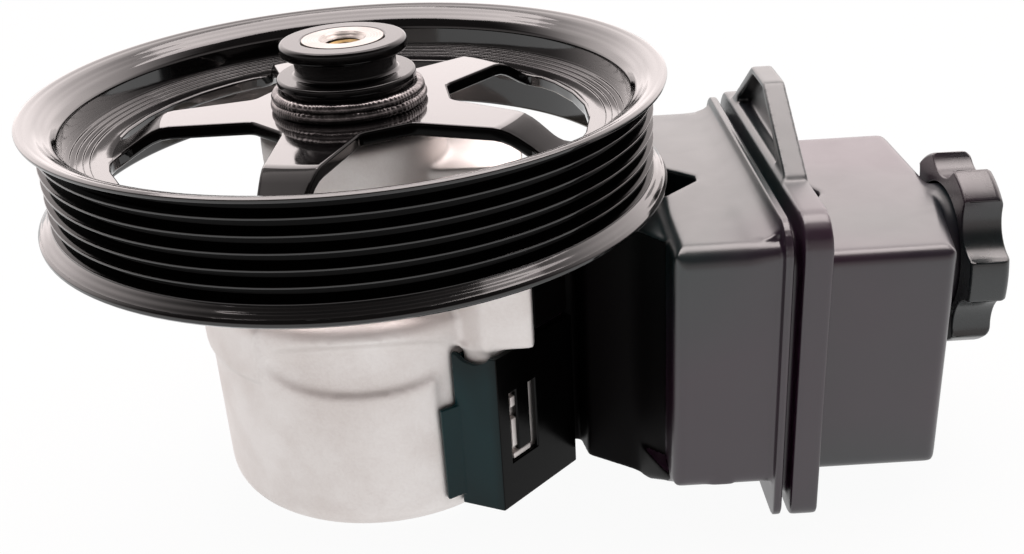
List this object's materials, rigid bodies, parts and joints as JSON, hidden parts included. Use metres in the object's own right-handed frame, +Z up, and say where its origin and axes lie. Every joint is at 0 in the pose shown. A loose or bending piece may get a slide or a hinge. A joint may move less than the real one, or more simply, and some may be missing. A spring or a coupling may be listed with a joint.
{
  "type": "power steering pump",
  "caption": "Vane-type hydraulic steering pump with a spoked ribbed belt pulley, a cast housing and a clip-on fluid reservoir with a lobed filler cap.",
  "frame": {"origin": "shaft axis at the housing's rear face, on the floor the pump stands on", "axes": "+Z up the drive shaft towards the pulley, +X from the shaft towards the reservoir and its filler cap"},
  "size_m": [0.2261, 0.1492, 0.1101],
  "materials": {
    "black_pulley_paint": "gloss black coating over pressed and turned steel",
    "shaft_steel": "ground steel, slightly heat tinted in the tapped hole",
    "ground_steel": "ground and hardened steel",
    "spring_steel": "drawn spring wire",
    "cast_aluminium": "satin, fine blasted casting skin",
    "cover_aluminium": "turned aluminium",
    "bronze": "sintered bearing bronze",
    "black_rubber": "matt moulded rubber",
    "plated_steel": "zinc plated steel",
    "reservoir_plastic": "satin black moulded plastic",
    "cap_plastic": "satin black moulded plastic",
    "black_clip_paint": "gloss black coated spring steel"
  },
  "bodies": {
    "pump": {"pump_housing": "cast_aluminium", "shaft_bushing": "bronze", "shaft_seal": "black_rubber", "thrust_plate": "ground_steel", "cam_ring": "ground_steel", "pressure_plate": "ground_steel", "dowel_pins": "ground_steel", "pressure_spring": "spring_steel", "end_cover": "cover_aluminium", "end_cover_seal": "black_rubber", "retaining_ring": "spring_steel", "valve_spring": "spring_steel", "outlet_fitting": "plated_steel", "outlet_seal": "black_rubber", "joint_seal": "black_rubber", "reservoir_base": "reservoir_plastic", "reservoir_end": "reservoir_plastic", "front_clip": "black_clip_paint", "rear_clip": "black_clip_paint"},
    "rotating_group": {"pulley": "black_pulley_paint", "pulley_hub": "black_pulley_paint", "weld_bead": "black_pulley_paint", "drive_shaft": "shaft_steel", "rotor": "ground_steel", "vanes": "ground_steel", "rotor_snap_ring": "spring_steel"},
    "cap": {"filler_cap": "cap_plastic", "cap_gasket": "black_rubber", "dipstick": "cap_plastic"},
    "valve": {"flow_control_valve": "ground_steel"}
  },
  "joints": [
    {"name": "shaft_spin", "type": "hinge", "parent": "pump", "child": "rotating_group", "pos_m": [0, 0, 0.09], "axis": [0, 0, 1], "continuous": true},
    {"name": "cap_turn", "type": "hinge", "parent": "pump", "child": "cap", "pos_m": [0.142, -0.004, 0.049], "axis": [1, 0, 0], "range_deg": [0, 90]},
    {"name": "valve_slide", "type": "slide", "parent": "pump", "child": "valve", "axis": [0, -1, 0], "range_m": [0, 0.006], "stiffness_N_per_m": 1500, "deforming": ["valve_spring"]}
  ]
}
